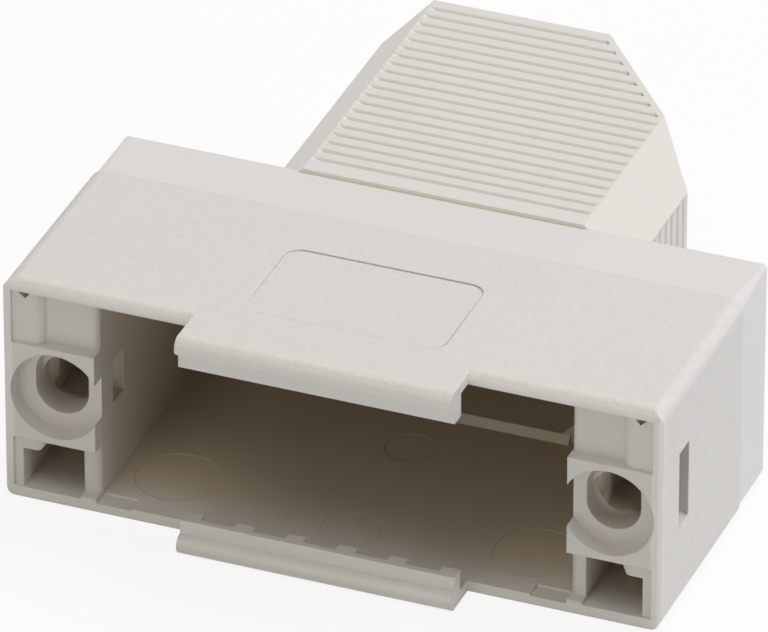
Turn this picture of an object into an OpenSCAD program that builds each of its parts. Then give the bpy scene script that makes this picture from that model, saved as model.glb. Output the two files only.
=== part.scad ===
// Hood for a 15-way D-subminiature cable connector, moulded in one piece.
// The connector's flange drops between two tongues on the front face, is held
// there by their lips, and is screwed to a boss on each side. The cable leaves
// the ribbed neck through a round outlet in its slanted corner.
// Millimetres. X runs along the connector, +Y towards the cable, +Z up. The
// origin is the middle of the front face, where the flange seats.

/* [Connector] */
// Distance between the two screw axes
screw_pitch = 33.32; // [33:0.01:34]
// Length of the connector's flange
flange_w = 39.14; // [39:0.01:39.4]
// Height of the connector's flange
flange_h = 12.55; // [12:0.01:13.5]
// Thickness of the connector's flange
flange_t = 1; // [0.8:0.05:1.4]
// Clearance round the flange, on each side
flange_gap = 0.13; // [0.05:0.01:0.3]
// Width of the connector's body behind the flange
plug_w = 27.5; // [26.5:0.1:28]
// Clearance beside the connector's body, on each side
plug_gap = 0.5; // [0.2:0.05:0.8]

/* [Body] */
// Thickness of the top and bottom walls
wall = 0.75; // [0.65:0.05:1.5]
// Height that the outer rim stands past the ends of the flange
end_rim = 0.28; // [0.2:0.01:1]
// Depth of the spark-textured front part, up to the parting line
shell_d = 13.1; // [11:0.1:16]
// Depth of the smooth rear part behind the parting line
collar_d = 4.5; // [3:0.1:7]
// Step down from the front part to the rear part
part_step = 0.08; // [0.02:0.01:0.2]
// Inward draft of the rear part over its depth
collar_draft = 0.15; // [0:0.01:0.4]
// Radius of the four long edges
edge_r = 0.8; // [0.3:0.05:1.2]
// Extra room under the top wall, above the flange
roof_relief = 0.15; // [0:0.01:0.3]
// Radius of the front edge along the top
nose_r = 0.6; // [0.2:0.05:0.7]
// Radius of the front edge along the bottom
under_r = 0.2; // [0.1:0.05:0.6]
// Radius of the front edge up the two ends
end_nose_r = 0.28; // [0.1:0.02:0.5]
// Thickness of the rear wall on both sides of the neck
rear_wall = 1.9; // [1:0.1:2.5]

/* [Screw towers] */
// Height of the screw boss, flush with the front face
boss_h = 6.3; // [6:0.1:7.5]
// Diameter of the counterbore that clears the flange's rivet
counterbore_d = 5.5; // [4.8:0.1:5.6]
// Depth of the counterbore
counterbore_t = 1.05; // [0.5:0.05:1.5]
// Diameter of the screw hole, which is also the width of its oblong mouth
hole_d = 3.24; // [3.1:0.01:3.4]
// Height that the oblong mouth reaches above the round hole
mouth_rise = 0.9; // [0.2:0.05:1]
// Depth of the oblong mouth behind the counterbore
mouth_t = 1; // [0.4:0.05:1.2]
// Thickness of the boss in front of the nut slot
boss_t = 2.86; // [2.6:0.02:4]
// Width of the nut slot, along the screw
slot_w = 1.55; // [1.2:0.05:2.6]
// Distance from the screw axis up to the top of the nut slot
slot_up = 2.95; // [2.4:0.05:3]
// Distance from the screw axis down to the foot of the nut slot
slot_down = 1.9; // [1.7:0.05:2.9]
// Height of the ejecting window from the slot into the cavity
window_h = 2.9; // [1.5:0.1:4.5]
// Lead-in at the foot of the slot's outer mouth
slot_ramp = 0.45; // [0:0.05:0.8]
// Thickness of the partition between a tower and the cavity
partition_t = 0.95; // [0.7:0.05:1.2]
// Thickness of the outer end wall
end_wall = 1.1; // [0.8:0.05:1.3]
// Height of the passage behind the nut slot
passage_h = 4.6; // [3:0.1:5]
// Thickness of the webs between the bays and the boss
web = 0.3; // [0.25:0.05:0.6]
// Width of the front rim beside the stepped panels
rim_w = 0.55; // [0.3:0.05:0.7]
// Depth of the outer step of a tower's front
outer_recess = 0.17; // [0.1:0.01:0.3]
// Depth of the inner step of a tower's front
inner_recess = 0.65; // [0.4:0.05:0.9]
// Width of the outer step
outer_step_w = 1.18; // [1:0.02:1.5]
// Width over which the outer step rounds away into the inner one
ramp_w = 0.73; // [0.55:0.01:0.9]
// Radius of the partition's front corner
partition_r = 0.5; // [0.2:0.05:0.6]
// Thickness of the panel that closes each upper bay
panel_t = 0.7; // [0.5:0.05:1.2]
// Depth of the lintel over the outer part of the lower window
lintel_h = 0.75; // [0.5:0.05:1]
// Width of the vee notch under the roof
vee_w = 0.9; // [0.5:0.05:1]
// Height of the vee notch under the roof
vee_h = 0.47; // [0.3:0.01:0.6]

/* [Tongues] */
// Width of each tongue
tongue_w = 16.6; // [12:0.1:20]
// Height that each lip reaches over the flange
lip_grip = 1.2; // [0.8:0.05:1.6]
// Thickness of each lip
lip_t = 0.4; // [0.3:0.05:0.8]
// Radius of the rounded front of each tongue
tongue_r = 0.6; // [0.45:0.05:0.8]
// Number of crush ribs behind each lip
rib_count = 6; // [2:1:8]
// Width of a crush rib
rib_w = 1.1; // [0.6:0.1:1.6]
// Depth of a crush rib
rib_t = 0.55; // [0.3:0.05:0.8]

/* [Neck] */
// Width of the neck across its grip sides
neck_w = 22.6; // [18:0.1:26]
// Length of the neck behind the body
neck_len = 20.7; // [17:0.1:26]
// Width of the neck's four long bevels, measured flat
bevel = 2.7; // [1:0.1:3.5]
// Wall of the neck
neck_wall = 1.3; // [1:0.05:2]
// Length of the right grip side, from the body to the slanted corner
grip_len = 9.75; // [8:0.05:11]
// Turn of the cable outlet away from straight back
outlet_turn = 51; // [48:1:60]
// Diameter of the round cable outlet
outlet_d = 8.6; // [5:0.1:9]
// Cut-off at the far left corner, across the neck
corner_x = 2.7; // [1:0.1:3]
// Cut-off at the far left corner, along the neck
corner_y = 1.5; // [0.5:0.1:3]
// Distance from one grip groove to the next
groove_pitch = 0.975; // [0.7:0.005:1.4]
// Width of a grip groove
groove_w = 0.36; // [0.2:0.02:0.45]
// Depth of a grip groove
groove_t = 0.17; // [0.1:0.01:0.3]
// Distance from the body to the first groove
groove_start = 1.27; // [0.6:0.01:3]
// Smooth margin past the last groove and beside the slanted corner
groove_margin = 0.4; // [0.3:0.1:2]
// Length over which a groove runs out at each end
groove_run = 0.5; // [0.2:0.1:1]

/* [Label recess] */
// Width of the shallow recess in the top
label_w = 12; // [6:0.1:14]
// Distance from the front face to the recess's rear edge
label_rear = 9.2; // [7:0.1:12]
// Distance from the front face to where the recess's floor meets the top
label_front = 1.2; // [1:0.1:4]
// Depth of the recess at its rear edge
label_t = 0.08; // [0.03:0.01:0.2]
// Corner radius of the recess
label_r = 1; // [0.5:0.1:2]

/* [Hidden] */
$fn = 64;
grey = [0.84, 0.83, 0.80];
over = 1;                       // how far a cut runs past a face
floor_t = 0.12;                 // depth of the pockets in the cavity's front edge
pocket_w = 2.15;
pocket_d = 1.13;
wall_step = 0.06;               // the cavity's ends step back behind the towers' fronts
mark_t = 0.04;                  // depth of the ejector marks on the cavity's floor
end_mark = [10.9, 4.15, 2.5];   // each is its place across, its place back, its radius
front_mark = [0.25, 2.65, 1.75];
rear_mark = [0.25, 11.9, 1.5];
foot_h = 0.2;                   // foot of each partition on the front edge
sill_d = 0.3;                   // slope from the cavity's floor up into the neck

cavity_h = flange_h + 2 * flange_gap;
cavity_w = plug_w + 2 * plug_gap;
body_h = cavity_h + 2 * wall;
body_w = flange_w + 2 * end_rim;
body_d = shell_d + collar_d;
inner_d = body_d - rear_wall;   // the back of the cavity and of the bays
roof_z = cavity_h / 2 + roof_relief;

hole_x = screw_pitch / 2;
tower_x = cavity_w / 2;         // the inner face of a tower
rim_x = body_w / 2 - rim_w;
bay_x0 = tower_x + partition_t;
bay_x1 = body_w / 2 - end_wall;
bay_z = boss_h / 2 + web;
passage_x0 = hole_x - hole_d / 2;
passage_x1 = hole_x + hole_d / 2;
step_t = inner_recess - outer_recess;
step_r = (step_t * step_t + ramp_w * ramp_w) / (2 * step_t);
step_x = rim_x - outer_step_w;  // where the outer step starts to round away
slot_y1 = boss_t + slot_w;

lip_y = -(flange_t + rib_t);    // the back of a lip
lip_front = lip_y - lip_t;
lip_z = flange_h / 2 - lip_grip;
rib_span = tongue_w - rib_w;

neck_z = body_h / 2;
neck_end = body_d + neck_len;
grip_end = body_d + grip_len;
slant = [sin(outlet_turn), cos(outlet_turn)];

// Extrudes a profile drawn in (x, z) from y = a to y = b.
module along_y(a, b) {
    rotate([90, 0, 0]) translate([0, 0, -b]) linear_extrude(b - a) children();
}

// Extrudes a profile drawn in (y, z) from x = a to x = b.
module along_x(a, b) {
    rotate([90, 0, 90]) translate([0, 0, a]) linear_extrude(b - a) children();
}

// Extrudes a profile drawn in (x, y) from z = a to z = b.
module along_z(a, b) {
    translate([0, 0, a]) linear_extrude(b - a) children();
}

module both_sides() {
    children();
    mirror([1, 0, 0]) children();
}

module top_and_bottom() {
    children();
    mirror([0, 0, 1]) children();
}

// A block given by its two corners.
module block(low, high) {
    translate(low) cube(high - low);
}

module rounded_rectangle(w, h, r) {
    square([w - 2 * r, h], center = true);
    square([w, h - 2 * r], center = true);
    for (x = [-1, 1], y = [-1, 1])
        translate([x * (w / 2 - r), y * (h / 2 - r)]) circle(r);
}

// Section of the front part along its depth. Its front edges are rounded: the
// upper one by up_r, the lower one by low_r.
module shell_section(half, up_r, low_r) {
    big = max(up_r, low_r);
    translate([big, -half]) square([shell_d - big, 2 * half]);
    translate([0, low_r - half]) square([shell_d, 2 * half - up_r - low_r]);
    translate([low_r, -half]) square([shell_d - low_r, half]);
    translate([up_r, 0]) square([shell_d - up_r, half]);
    translate([up_r, half - up_r]) circle(up_r);
    translate([low_r, low_r - half]) circle(low_r);
}

// Section of the drafted rear part along its depth.
module collar_section(half) {
    near = half - part_step;
    far = near - collar_draft;
    polygon([[shell_d - over, near], [shell_d, near], [body_d, far],
             [body_d, -far], [shell_d, -near], [shell_d - over, -near]]);
}

module outer_body() {
    intersection() {
        along_y(0, shell_d) rounded_rectangle(body_w, body_h, edge_r);
        along_x(-body_w / 2, body_w / 2) shell_section(body_h / 2, nose_r, under_r);
        along_z(-body_h / 2, body_h / 2) rotate(90)
            shell_section(body_w / 2, end_nose_r, end_nose_r);
    }
    intersection() {
        along_y(shell_d - over, body_d)
            rounded_rectangle(body_w - 2 * part_step, body_h - 2 * part_step, edge_r);
        along_x(-body_w / 2, body_w / 2) collar_section(body_h / 2);
        along_z(-body_h / 2, body_h / 2) rotate(90) collar_section(body_w / 2);
    }
}

// Cut that gives a tower's front its two steps, drawn in (x, y). The outer step
// rounds away into the inner one, and that one rounds away into the cavity.
module tower_steps() {
    difference() {
        translate([tower_x - over, -over])
            square([rim_x - tower_x + over, over + inner_recess + partition_r]);
        translate([step_x, outer_recess]) square([rim_x - step_x + over, 2 * over]);
        translate([step_x, outer_recess + step_r]) circle(step_r);
        translate([tower_x + partition_r, inner_recess])
            square([rim_x - tower_x, 2 * over]);
        translate([tower_x + partition_r, inner_recess + partition_r]) circle(partition_r);
        translate([tower_x - 2 * over, inner_recess + partition_r])
            square([3 * over, over]);
    }
}

// Oblong mouth of the screw hole: the hole, and the same again higher up.
module oblong_mouth() {
    circle(d = hole_d);
    translate([-hole_d / 2, 0]) square([hole_d, mouth_rise]);
    translate([0, mouth_rise]) circle(d = hole_d);
}

// Lower window of a tower, drawn in (x, z): its top steps down under the lintel.
module window_outline() {
    top = -bay_z;
    low = -boss_h / 2 - lintel_h;
    polygon([[bay_x0, -cavity_h / 2], [bay_x1, -cavity_h / 2], [bay_x1, low],
             [step_x - ramp_w / 2, low], [step_x - ramp_w, top], [bay_x0, top]]);
}

// Small notch through the top of the outer panel, drawn in (x, z).
module vee() {
    polygon([[step_x, roof_z], [step_x + 0.4 * vee_w, roof_z - vee_h],
             [step_x + vee_w, roof_z]]);
}

// Everything that is cut from the right-hand tower.
module tower_cuts() {
    along_z(boss_h / 2, roof_z) tower_steps();
    along_z(-cavity_h / 2, -boss_h / 2) tower_steps();
    // boss: counterbore, screw hole, nut slot and the passage behind it
    translate([hole_x, 0, 0]) {
        along_y(-over, counterbore_t) circle(d = counterbore_d);
        along_y(-over, counterbore_t + mouth_t) oblong_mouth();
        along_y(-over, boss_t + slot_w / 2) circle(d = hole_d);
    }
    block([passage_x0, boss_t + slot_w / 2, -passage_h / 2],
          [passage_x1, inner_d, passage_h / 2]);
    block([passage_x0, boss_t, -slot_down], [body_w / 2 + over, slot_y1, slot_up]);
    block([tower_x - over, boss_t, -window_h / 2], [hole_x, slot_y1, window_h / 2]);
    // bays above and below the boss, and the window into the lower one
    block([bay_x0, inner_recess + panel_t, bay_z], [bay_x1, inner_d, cavity_h / 2]);
    block([bay_x0, inner_recess + panel_t, -cavity_h / 2], [bay_x1, inner_d, -bay_z]);
    along_y(-over, inner_recess + 2 * panel_t) window_outline();
    along_y(-over, inner_recess + 2 * panel_t) vee();
}

// What stands inside the right-hand tower's cuts.
module tower_extras() {
    // the ramp at the foot of the slot's mouth
    along_y(boss_t - over / 2, slot_y1 + over / 2)
        polygon([[body_w / 2 - part_step, -slot_down], [bay_x1, slot_ramp - slot_down],
                 [passage_x1, slot_ramp - slot_down], [passage_x1, -slot_down - over / 4],
                 [body_w / 2 - part_step, -slot_down - over / 4]]);
    // the partition's foot on the front edge
    block([tower_x, 0, -cavity_h / 2 - over / 4],
          [bay_x0, inner_recess + partition_r + over / 4, foot_h - cavity_h / 2]);
}

module cavity() {
    difference() {
        union() {
            block([-tower_x, -over, -cavity_h / 2], [tower_x, inner_d, roof_z]);
            block([-tower_x - wall_step, inner_recess + partition_r, -cavity_h / 2],
                  [tower_x + wall_step, inner_d, roof_z]);
        }
        top_and_bottom() along_x(-neck_w / 2 + bevel, neck_w / 2 - bevel)
            polygon([[inner_d - sill_d, cavity_h / 2], [inner_d, neck_z - neck_wall],
                     [inner_d + over, neck_z - neck_wall], [inner_d + over, roof_z + over],
                     [inner_d - sill_d, roof_z + over]]);
    }
    both_sides()
        block([tower_x - pocket_w, -over, -cavity_h / 2 - floor_t], [tower_x, pocket_d, 0]);
    both_sides() ejector_mark(end_mark);
    ejector_mark(front_mark);
    ejector_mark(rear_mark);
}

module ejector_mark(mark) {
    translate([mark.x, mark.y, -cavity_h / 2 - mark_t]) cylinder(h = over, r = mark.z);
}

// Shallow recess in the top whose floor slopes up to the top towards the front.
module label_recess() {
    top = body_h / 2;
    intersection() {
        along_z(top - over, top + over) translate([0, label_rear - label_w / 2])
            rounded_rectangle(label_w, label_w, label_r);
        along_x(-label_w / 2, label_w / 2)
            polygon([[label_front, top], [label_rear, top - label_t],
                     [label_rear, top + over], [label_front, top + over]]);
    }
}

// Grip grooves across a face of the neck, from the body to y = last. The face is
// at z = level and its flat is 2 * half wide. Each groove runs out at its ends.
module face_grooves(half, level, last) {
    count = floor((last - body_d - groove_start) / groove_pitch) + 1;
    intersection() {
        along_x(-half, half) for (i = [0 : count - 1])
            translate([body_d + groove_start + i * groove_pitch, level])
                polygon([[-groove_w, groove_t], [0, -groove_t], [groove_w, groove_t]]);
        along_y(body_d, last + groove_pitch)
            polygon([[-half, level + over], [-half, level],
                     [2 * groove_run - half, level - 2 * groove_t],
                     [half - 2 * groove_run, level - 2 * groove_t],
                     [half, level], [half, level + over]]);
    }
}

// Eight-sided section of the neck, inset by t.
module neck_section(t) {
    x = neck_w / 2 - t;
    z = neck_z - t;
    cut = bevel - t * (2 - sqrt(2));
    polygon([[x, z - cut], [x - cut, z], [cut - x, z], [-x, z - cut],
             [-x, cut - z], [cut - x, -z], [x - cut, -z], [x, cut - z]]);
}

// Plan of the neck, inset by t: the outlet corner is slanted, and the far left
// corner is cut off.
module neck_plan(t, start) {
    x = neck_w / 2 - t;
    y = neck_end - t;
    reach = slant.x * neck_w / 2 + slant.y * grip_end - t;
    polygon([[-x, start], [x, start], [x, (reach - slant.x * x) / slant.y],
             [(reach - slant.y * y) / slant.x, y], [corner_x - x, y], [-x, y - corner_y]]);
}

module neck() {
    start = body_d - 0.1;
    flat_x = neck_w / 2 - bevel;
    flat_z = neck_z - bevel;
    difference() {
        intersection() {
            along_y(start, neck_end) neck_section(0);
            along_z(-neck_z, neck_z) neck_plan(0, start);
        }
        intersection() {
            top_and_bottom() face_grooves(flat_x, neck_z, neck_end - groove_margin);
            along_z(-neck_z - over, neck_z + over) neck_plan(groove_margin, start);
        }
        rotate([0, 90, 0]) face_grooves(flat_z, neck_w / 2, grip_end - groove_margin);
        rotate([0, -90, 0])
            face_grooves(flat_z, neck_w / 2, neck_end - corner_y - groove_margin);
    }
}

module neck_channel() {
    intersection() {
        along_y(inner_d - over, neck_end) neck_section(neck_wall);
        along_z(-neck_z, neck_z) neck_plan(neck_wall, inner_d - over);
    }
    // the cable outlet, through the middle of the slanted corner
    reach = slant.x * neck_w / 2 + slant.y * grip_end;
    far_x = (reach - slant.y * neck_end) / slant.x;
    translate([(neck_w / 2 + far_x) / 2, (grip_end + neck_end) / 2, 0])
        rotate([-90, 0, -outlet_turn]) translate([0, 0, -neck_wall - over])
            cylinder(h = neck_wall + 2 * over, d = outlet_d);
}

// Upper tongue: a plate level with the top, with a rounded front, a lip that
// hooks over the flange, and crush ribs that press on it.
module tongue() {
    half = tongue_w / 2;
    plate_z = body_h / 2 - wall;
    along_x(-half, half) {
        translate([lip_front, plate_z]) square([nose_r + over - lip_front, wall]);
        translate([lip_front, lip_z]) square([lip_t, body_h / 2 - tongue_r - lip_z]);
        translate([lip_front, body_h / 2 - tongue_r]) circle(tongue_r);
    }
    for (i = [0 : rib_count - 1])
        translate([i * rib_span / (rib_count - 1) - rib_span / 2, 0, 0])
            block([-rib_w / 2, lip_y - lip_t / 2, lip_z], [rib_w / 2, lip_y + rib_t, plate_z + wall / 2]);
}

module hood() color(grey) {
    difference() {
        union() {
            outer_body();
            neck();
            top_and_bottom() tongue();
        }
        cavity();
        neck_channel();
        label_recess();
        both_sides() tower_cuts();
    }
    both_sides() tower_extras();
}

hood();
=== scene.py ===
# %% [markdown]
# # A moulded hood for a D-sub connector
#
# The whole hood is one piece of injection-moulded plastic, so there is one mesh
# and one plastic. What makes it look real is not colour but surface: the steel
# mould was spark-eroded over the front of the body and polished elsewhere, and
# light catches on the small rounds that every moulded edge has.
#
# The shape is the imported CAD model, loaded as a fixed frame. Nothing here
# changes its size: this file gives it plastic, light, a floor and a camera.

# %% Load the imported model
import math

import bpy
from mathutils import Matrix, Vector


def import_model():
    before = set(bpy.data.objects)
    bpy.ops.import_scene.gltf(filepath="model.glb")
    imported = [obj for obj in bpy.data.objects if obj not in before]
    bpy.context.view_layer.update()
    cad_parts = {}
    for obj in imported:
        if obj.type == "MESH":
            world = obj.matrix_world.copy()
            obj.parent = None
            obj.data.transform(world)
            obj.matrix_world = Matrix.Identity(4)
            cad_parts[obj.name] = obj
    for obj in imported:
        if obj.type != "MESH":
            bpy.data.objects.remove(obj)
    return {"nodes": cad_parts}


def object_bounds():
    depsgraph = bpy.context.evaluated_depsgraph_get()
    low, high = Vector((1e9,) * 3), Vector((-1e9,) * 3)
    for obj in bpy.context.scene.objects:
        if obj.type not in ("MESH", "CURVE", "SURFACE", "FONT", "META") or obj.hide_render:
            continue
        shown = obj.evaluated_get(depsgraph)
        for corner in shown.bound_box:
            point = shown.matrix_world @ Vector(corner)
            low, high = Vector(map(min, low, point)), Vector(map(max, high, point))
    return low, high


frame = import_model()
cad_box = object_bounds()
hood = frame["nodes"]["hood"]
MM = 0.001
print("CAD box:", [[round(v / MM, 2) for v in corner] for corner in cad_box])

# %% [markdown]
# ## Writing shader maths as Python
#
# A procedural material is arithmetic on values that change over the surface.
# Wiring that arithmetic by hand hides it, so a small class wraps one socket and
# overloads the operators: `1 - mask * 0.5` then adds its own Math nodes. Two
# plain numbers never make a node, because Python works those out.

# %% A socket that can be used in an expression


class Value:
    def __init__(self, tree, socket):
        self.tree = tree
        self.socket = socket

    def math(self, operation, other=None, swap=False):
        pair = [self, other] if not swap else [other, self]
        inputs = {i: v for i, v in enumerate(pair) if v is not None}
        return self.tree.add("ShaderNodeMath", {"operation": operation}, inputs)

    def __add__(self, other):
        return self.math("ADD", other)

    __radd__ = __add__

    def __mul__(self, other):
        return self.math("MULTIPLY", other)

    __rmul__ = __mul__

    def __sub__(self, other):
        return self.math("SUBTRACT", other)

    def __rsub__(self, other):
        return self.math("SUBTRACT", other, swap=True)

    def __truediv__(self, other):
        return self.math("DIVIDE", other)

    def __abs__(self):
        return self.math("ABSOLUTE")

    def high(self, other):
        return self.math("MAXIMUM", other)

    def ramp(self, start, end):
        """0 below start, 1 above end, and a smooth S between them."""
        ranges = {"Value": self, "From Min": start, "From Max": end}
        kind = {"interpolation_type": "SMOOTHSTEP"}
        return self.tree.add("ShaderNodeMapRange", kind, ranges)


# %% [markdown]
# The second helper is a whole tree of nodes. Its `node` method adds any node: it
# takes the node's type, then its settings, then what goes into its sockets, which
# may be numbers or other values. `add` does the same and gives one output back as
# a value. The plastic, the floor and the studio's world are all made with it.

# %% A tree that adds nodes


class NodeTree:
    def __init__(self, owner, output="ShaderNodeOutputMaterial"):
        self.owner = owner
        owner.use_nodes = True
        self.nodes = owner.node_tree.nodes
        self.links = owner.node_tree.links
        self.nodes.clear()
        self.output = self.nodes.new(output)

    def node(self, kind, settings=None, inputs=None):
        node = self.nodes.new(kind)
        for name, value in (settings or {}).items():
            setattr(node, name, value)
        for key, value in (inputs or {}).items():
            socket = node.inputs[key]
            if isinstance(value, Value):
                self.links.new(value.socket, socket)
            else:
                socket.default_value = value
        return node

    def add(self, kind, settings=None, inputs=None, output=0):
        return Value(self, self.node(kind, settings, inputs).outputs[output])

    def mix(self, factor, low, high):
        """The colour low where factor is 0, and the colour high where it is 1."""
        low, high = ((*c, 1) if isinstance(c, tuple) else c for c in (low, high))
        inputs = {"Factor": factor, 6: low, 7: high}
        return self.add("ShaderNodeMix", {"data_type": "RGBA"}, inputs, output=2)

    def noise(self, scale, detail=2, roughness=0.5):
        inputs = {"Scale": scale, "Detail": detail, "Roughness": roughness,
                  "Vector": self.place}
        return self.add("ShaderNodeTexNoise", {}, inputs)

    def finish(self, surface):
        self.links.new(surface.socket, self.output.inputs["Surface"])
        return self.owner


# %% [markdown]
# ## Where each finish lies
#
# The hood is a light warm-grey engineering plastic. It has three finishes, which
# follow the mould: fine spark texture on the outside in front of the parting
# line, a smoother satin behind it, and bare, slightly glossier walls inside.
#
# Each finish gets a mask: a value that is 1 where the finish lies and 0 elsewhere.
# Masks could be painted by hand, but these are worked out from the object's own
# coordinates in millimetres, so they stay sharp and stay on the object however it
# is turned. Multiplying masks keeps what they share, and `high` joins them.

# %% Coordinates in millimetres
HALF_W, HALF_H = cad_box[1][0] / MM, cad_box[1][2] / MM

plastic = NodeTree(bpy.data.materials.new("hood_plastic"))
plastic.place = plastic.add("ShaderNodeTexCoord", output=3)
split = plastic.node("ShaderNodeSeparateXYZ", {}, {"Vector": plastic.place})
x, y, z = (Value(plastic, socket) / MM for socket in split.outputs)
across, tall = abs(x), abs(z)


def beyond(value, limit, blur=0.05):
    """1 past a plane, 0 before it."""
    return value.ramp(limit - blur, limit + blur)


def before(value, limit, blur=0.05):
    """1 before a plane, 0 past it."""
    return 1 - beyond(value, limit, blur)


print("half width and height, mm:", round(HALF_W, 3), round(HALF_H, 3))

# %% [markdown]
# The spark texture covers the top, the bottom and both ends, from just behind the
# rounded front rim to the parting line. It also runs out over the flat of both
# tongues, which stand in front of the body.

# %% Outside: the spark-textured part
FRONT_RIM = 0.3       # the rim was left bright in the mould
PARTING = 13.1
WALL_DEPTH = 0.3      # how far below an outer face that face still counts

top_or_bottom = beyond(tall, HALF_H - WALL_DEPTH)
end_face = beyond(across, HALF_W - WALL_DEPTH)
tongue_top = beyond(tall, HALF_H - WALL_DEPTH / 2) * (1 - end_face)
front_part = before(y, PARTING) * beyond(y, FRONT_RIM, 0.2).high(tongue_top)
textured = top_or_bottom.high(end_face) * front_part
print("with the outside:", len(plastic.nodes), "nodes")

# %% [markdown]
# Indoors is the cavity with the towers' bays beside it, and the channel inside the
# neck. The channel has the neck's own eight-sided, slant-cornered shape, so its
# mask is made from the same planes, each moved about halfway into the wall.

# %% Inside: the cavity and the neck's channel
INSIDE_HALF_W = 19.0  # up to the end walls, so that the towers' bays count too
INSIDE_HALF_H = 6.7
CAVITY_END = 15.7
NECK_START = 17.6     # the back of the body
NECK_HALF_W = 11.3
NECK_BEVEL = 2.7
NECK_SLANT = 25.99    # from the origin to the slanted corner, square to it
OUTLET_TURN = math.radians(51)
HALF_NECK_WALL = 0.65
BEVEL_INSET = 0.9     # about half the wall, measured along x + z
CHANNEL_LIMIT = 36.7  # a little short of the channel's far end

# These masks carry painted shade into the cavity, the towers' bays and the neck's channel
cavity = before(across, INSIDE_HALF_W) * before(tall, INSIDE_HALF_H, 0.2)
cavity = cavity * y.ramp(0.4, 4) * before(y, NECK_START - 0.1)

bevels = NECK_HALF_W + HALF_H - NECK_BEVEL - BEVEL_INSET
from_slant = NECK_SLANT - (x * math.sin(OUTLET_TURN) + y * math.cos(OUTLET_TURN))
channel = beyond(NECK_HALF_W - across, HALF_NECK_WALL) * beyond(from_slant, HALF_NECK_WALL)
channel = channel * beyond(HALF_H - tall, HALF_NECK_WALL)
channel = channel * before(across + tall, bevels)
channel = channel * beyond(y, CAVITY_END - 0.1) * before(y, CHANNEL_LIMIT)

indoors = cavity.high(channel)
deep = y.ramp(5, 16)
print("with the inside:", len(plastic.nodes), "nodes")

# %% [markdown]
# Three narrow bands have a look of their own: the front edge, where the eroded
# texture is coarsest and a cream of painted light shows; the bare front rim,
# lightened by a painted highlight; and the low step where the neck stands up
# behind the body, lightened by painted light. The last two need the direction of
# the face as well as its place, so that the flat behind them is left alone.

# %% Front edge, front rim and neck step
TONGUE_HALF_W = 8.35  # just past the tongues' sides
TONGUE_REACH = 2.45   # how much further forward the front edge lies on a tongue
TONGUE_FRONT = -1.5   # the front of a tongue, from just behind its lip

on_tongue = before(across, TONGUE_HALF_W)
front_edge = 1 - (y + on_tongue * TONGUE_REACH).ramp(0.1, 1.7)

face = plastic.add("ShaderNodeNewGeometry", output=1)
faces_back = plastic.add("ShaderNodeSeparateXYZ", {}, {"Vector": face}, output=1)
faces_front = (0 - faces_back).ramp(0.5, 0.9)

outer_band = beyond(across, HALF_W - 0.6).high(beyond(tall, HALF_H - 0.8))
outer_band = outer_band.high(on_tongue * before(y, TONGUE_FRONT))
# The forward-facing faces of the front rim get a painted highlight
front_rim_highlight = faces_front * outer_band * before(y, 0.5)

# The neck's step gets painted light: cream, as if lit through the thin wall
neck_step = faces_front * top_or_bottom * beyond(y, NECK_START - 0.2)
neck_step = neck_step * before(y, NECK_START + 0.4)
print("with the narrow bands:", len(plastic.nodes), "nodes")

# %% [markdown]
# The grip grooves are cut into four faces of the neck. A point lies in a groove
# when it is a little below its face, so the depth below the face is all the mask
# needs, and it follows the grooves however many there are.

# %% Grip grooves
GROOVE_REACH = 0.25   # deeper than any groove

on_ribs = beyond(y, NECK_START + 0.8)


def below_face(value, level):
    """1 at the foot of the grooves cut into a face, 0 on the face itself."""
    walls_fade = 1 - value.ramp(level - 0.14, level - 0.03)
    return beyond(value, level - GROOVE_REACH) * walls_fade


top_grooves = below_face(tall, HALF_H) * before(across, NECK_HALF_W - NECK_BEVEL)
side_grooves = below_face(across, NECK_HALF_W) * before(tall, HALF_H - NECK_BEVEL)
# This mask paints shade into the grip grooves
grooves = top_grooves.high(side_grooves) * on_ribs
print("with the grooves:", len(plastic.nodes), "nodes")

# %% [markdown]
# ## The surface
#
# Spark erosion leaves a field of overlapping craters a tenth of a millimetre
# across. Two noises stand for it: one at the size of the craters and one
# about three times as wide, which keeps the surface from looking even. A third,
# much wider one is the slight waviness of every moulded wall.
#
# The two finer heights are kept around zero, so that no false step shows where
# the texture ends.

# %% Spark texture and the walls' own waviness
BUMP_DEPTH = 0.045    # millimetres for a height of 1
CRATERS, PATCHES, RIPPLES = 8200, 2600, 260   # how many fit in a metre

craters = plastic.noise(CRATERS, detail=3, roughness=0.62)
patches = plastic.noise(PATCHES)
ripple = plastic.noise(RIPPLES)
spark = craters * 0.65 + patches * 0.35

coarser = 1 + front_edge * 1.3
height = (spark - 0.5) * textured * coarser
height = height + (craters - 0.5) * (1 - textured) * 0.10 + ripple * 0.15
print("bumps apart, mm:", [round(1 / MM / n, 2) for n in (CRATERS, PATCHES, RIPPLES)])

# %% [markdown]
# The mesh has the label recess as a wedge, deep at the back and level with the
# top in front. On the real part a fine edge also runs round its sides and
# front. It is only a few hundredths of a millimetre high, so the bump draws it,
# from the distance to a rounded rectangle.

# %% The fine edge of the label recess
LABEL_HALF_W, LABEL_FRONT, LABEL_REAR, LABEL_ROUND = 6.0, 1.9, 9.2, 1.0
LABEL_DEPTH = 0.07
LABEL_EDGE = 0.06     # half the width over which the edge falls

middle = (LABEL_FRONT + LABEL_REAR) / 2
past_x = (across - (LABEL_HALF_W - LABEL_ROUND)).high(0)
past_y = (abs(y - middle) - (LABEL_REAR - middle - LABEL_ROUND)).high(0)
outside = (past_x * past_x + past_y * past_y).math("POWER", 0.5) - LABEL_ROUND
on_label = (1 - outside.ramp(-LABEL_EDGE, LABEL_EDGE)) * beyond(z, HALF_H - WALL_DEPTH)
missing = (LABEL_REAR - y) * (LABEL_DEPTH / (LABEL_REAR - LABEL_FRONT))
height = height - on_label * missing / BUMP_DEPTH
print("label recess, mm:", 2 * LABEL_HALF_W, "by", round(LABEL_REAR - LABEL_FRONT, 2))

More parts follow.
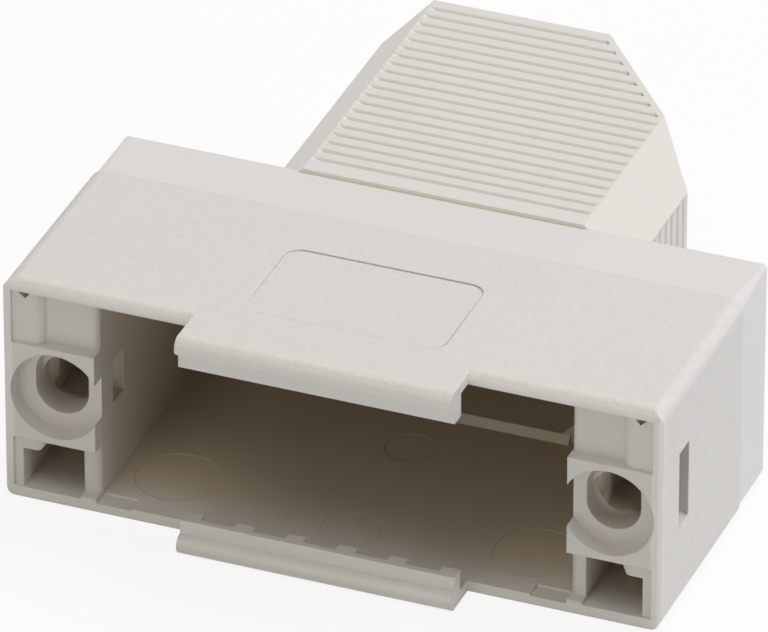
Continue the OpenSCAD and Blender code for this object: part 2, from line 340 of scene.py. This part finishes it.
# %% [markdown]
# A moulded edge is never sharp: the tool's corners have a radius of about a
# tenth of a millimetre. Cutting such rounds into every edge of the mesh would
# cost thousands of faces, so the Bevel node turns the shading normal near an
# edge instead, and the bump is laid over it.

# %% Rounded edges, with the bump over them
EDGE_ROUND = 0.11     # millimetres

rounded = plastic.add("ShaderNodeBevel", {"samples": 4}, {"Radius": EDGE_ROUND * MM})
bump = plastic.add("ShaderNodeBump", {}, {
    "Strength": 1.0, "Distance": BUMP_DEPTH * MM, "Height": height, "Normal": rounded})
print("with the surface:", len(plastic.nodes), "nodes")

# %% [markdown]
# ## The colour
#
# The colour barely changes: the plastic is coloured right through. Painted shade
# makes the crater hollows a little darker, a painted highlight makes the edges a
# little lighter, and slow mottling keeps large faces alive. Painted light stands
# for the warm light that the thin walls let through: cream along the front edge,
# on the ribbed neck and on the neck's step. Painted shade makes the cavity a
# browner grey, darker towards the back, and darkens the neck's grip grooves.
#
# The painted edge highlight comes from the Bevel node too: where its normal
# turns away from the face's own normal, there is an edge.

# %% The greys
LIGHT_GREY = (0.690, 0.668, 0.634)
# Painted shade: the darker grey of the crater hollows and the grip grooves, and the grey
# the mottling tends to
SHADE_AND_MOTTLE_GREY = (0.585, 0.560, 0.515)
# Painted highlight: the lighter grey of the edges and the front rim
HIGHLIGHT_GREY = (0.780, 0.762, 0.730)
# Painted light: these creams stand for warm light let through the thin walls, at the front
# edge, on the ribbed neck and on the neck's step
EDGE_CREAM = (0.745, 0.705, 0.630)
NECK_CREAM = (0.675, 0.640, 0.580)
THIN_STEP_CREAM = (0.880, 0.835, 0.720)
# Painted shade: the cavity's browner grey, and the darker one towards its back
INDOOR_SHADE_GREY = (0.635, 0.555, 0.447)
DEEP_SHADE_GREY = (0.470, 0.395, 0.300)

# %% Colour, one layer over the other
MOTTLES = 120         # how many fit in a metre

turned = plastic.add("ShaderNodeVectorMath", {"operation": "DOT_PRODUCT"},
                     {0: rounded, 1: face}, output=1)
# Painted highlight along the edges, where the Bevel node's normal turns
painted_edge_highlight = (1 - turned).ramp(0.01, 0.25) * 0.5
mottle = plastic.noise(MOTTLES, detail=3, roughness=0.6)
# Painted shade darkens the crater hollows; the mottling is the plastic's own uneven tone
crater_shade_and_mottle = textured * (1 - spark).ramp(0.38, 0.72) * 0.45 + mottle * 0.14
# Painted shade inside, darker towards the back
indoor_shade = plastic.mix(deep, INDOOR_SHADE_GREY, DEEP_SHADE_GREY)

colour = plastic.mix(crater_shade_and_mottle, LIGHT_GREY, SHADE_AND_MOTTLE_GREY)
for mask, layer in (
        # painted light through the thin walls: cream at the front edge, on the ribbed neck
        # and on the neck's step
        (front_edge * textured * 0.5, EDGE_CREAM),
        (on_ribs * 0.7, NECK_CREAM),
        # painted shade in the grip grooves
        (grooves * 0.85, SHADE_AND_MOTTLE_GREY),
        (neck_step, THIN_STEP_CREAM),
        # painted highlight on the edges and the front rim
        (painted_edge_highlight.high(front_rim_highlight), HIGHLIGHT_GREY),
        (indoors, indoor_shade)):
    colour = plastic.mix(mask, colour, layer)
print("with the colour:", len(plastic.nodes), "nodes")

# %% [markdown]
# Erosion scatters light, so the textured part is the roughest. The Principled
# shader puts colour, roughness and bump together.

# %% Roughness, and the plastic on the hood
SATIN = 0.42
ROUGHER_BY_TEXTURE = 0.26
ROUGHER_BY_MOTTLE = 0.06

roughness = SATIN + textured * ROUGHER_BY_TEXTURE + mottle * ROUGHER_BY_MOTTLE
shader = plastic.add("ShaderNodeBsdfPrincipled", {}, {
    "Base Color": colour, "Roughness": roughness, "Normal": bump, "IOR": 1.5})

hood.data.materials.clear()
hood.data.materials.append(plastic.finish(shader))
print("plastic:", len(plastic.nodes), "nodes")

# %% [markdown]
# ## Floor and world
#
# A product shot of pale plastic needs a white surround, but a surround that is
# really white would flood the object with light. A Light Path node tells apart
# what the camera sees from what lights the object: the floor and the world show
# white to the camera, and stay plain paper and a dim sky for everything else. The
# floor shows a small share of its own shading too, which keeps the object's
# shadow under it.

# %% White floor
FLOOR_SIZE = 4        # metres, far wider than the view
FLOOR_GAP = 0.1 * MM
SHADOW_SHARE = 0.12   # how much of its own shading the floor shows
WHITE = (1, 1, 1, 1)
PAPER = (0.8, 0.8, 0.8, 1)


def in_view(tree):
    """1 for what the camera sees, directly or mirrored, and 0 for plain light."""
    path = tree.node("ShaderNodeLightPath")
    seen, mirrored, through = (
        Value(tree, path.outputs[f"Is {kind} Ray"])
        for kind in ("Camera", "Glossy", "Transmission"))
    return seen.high(mirrored).high(through)


sweep = NodeTree(bpy.data.materials.new("white_sweep"))
glow = sweep.add("ShaderNodeEmission", {}, {"Color": WHITE, "Strength": 1.0})
paper = sweep.add("ShaderNodeBsdfDiffuse", {}, {"Color": PAPER})
white = in_view(sweep) * (1 - SHADOW_SHARE)
sheet = sweep.add("ShaderNodeMixShader", {}, {"Fac": white, 1: paper, 2: glow})

floor_z = cad_box[0][2] - FLOOR_GAP
bpy.ops.mesh.primitive_plane_add(size=FLOOR_SIZE, location=(0, 0, floor_z))
floor = bpy.context.object
floor.name = "floor"
floor.data.materials.append(sweep.finish(sheet))
print("floor at z =", round(floor_z / MM, 3), "mm")

# %% World
AMBIENT = 0.12

studio = NodeTree(bpy.data.worlds.new("studio"), "ShaderNodeOutputWorld")
strength = in_view(studio) * (1 - AMBIENT) + AMBIENT
sky = studio.add("ShaderNodeBackground", {}, {"Color": WHITE, "Strength": strength})
bpy.context.scene.world = studio.finish(sky)
print("world:", len(studio.nodes), "nodes")

# %% [markdown]
# ## Lamps
#
# One soft key light gives each face its own grey. It comes from above and behind
# to the right: the top is brightest, the right end a little less, and the open
# front, which faces away from it, is the darkest. The fills only lift what the key
# leaves too dark. The lamps behind and beside the hood are a little cool and those
# in front a little warm, as daylight and a bounced light would be.

# %% Soft round lamps, all aimed at the hood
COOL = (0.94, 0.95, 1.0)
WARM = (1.0, 0.95, 0.84)
LAMP_SIZE = 0.30
AIM = Vector((0, 0.015, 0))


def soft_lamp(name, place, power, tint):
    data = bpy.data.lights.new(name, "AREA")
    data.shape = "DISK"
    data.size = LAMP_SIZE
    data.energy = power
    data.color = tint
    lamp = bpy.data.objects.new(name, data)
    lamp.location = place
    direction = AIM - Vector(place)
    lamp.rotation_euler = direction.to_track_quat("-Z", "Y").to_euler()
    bpy.context.scene.collection.objects.link(lamp)
    print(name, "at", round(direction.length, 2), "m,", power, "W")


soft_lamp("key", (0.10, 0.20, 0.44), 1.58, COOL)
soft_lamp("overhead", (-0.05, -0.16, 0.45), 0.46, WARM)
soft_lamp("side_fill", (0.45, 0.02, 0.18), 0.90, COOL)
soft_lamp("front_fill", (-0.10, -0.50, 0.12), 0.40, WARM)
soft_lamp("back_fill", (-0.42, 0.36, 0.12), 0.30, COOL)

# %% [markdown]
# ## Camera
#
# The camera looks down on the open front from a little to the right. It stands
# far back with a long lens, as for a catalogue, so the hood's edges stay nearly
# parallel. Its axes are worked out from the two angles, and its place from the
# point that it looks at.

# %% Camera
AZIMUTH = math.radians(21.474)
ELEVATION = math.radians(31.434)
DISTANCE = 651.7 * MM
LENS = 538.8

right = Vector((math.cos(AZIMUTH), math.sin(AZIMUTH), 0))
back = Vector((math.sin(AZIMUTH) * math.cos(ELEVATION),
               -math.cos(AZIMUTH) * math.cos(ELEVATION), math.sin(ELEVATION)))
up = back.cross(right)
target = (Vector((-0.09, 8.83, 0)) + up * 3.507 - right * 0.069) * MM

camera_data = bpy.data.cameras.new("catalogue")
camera_data.lens = LENS
camera_data.sensor_width = 36
camera_data.clip_start = 0.01
camera = bpy.data.objects.new("catalogue", camera_data)
turn = Matrix((right, up, back)).transposed().to_4x4()
camera.matrix_world = Matrix.Translation(target + back * DISTANCE) @ turn
bpy.context.scene.collection.objects.link(camera)
bpy.context.scene.camera = camera
bpy.context.scene.view_settings.view_transform = "Standard"
print("camera looks at", [round(v / MM, 2) for v in target], "mm")
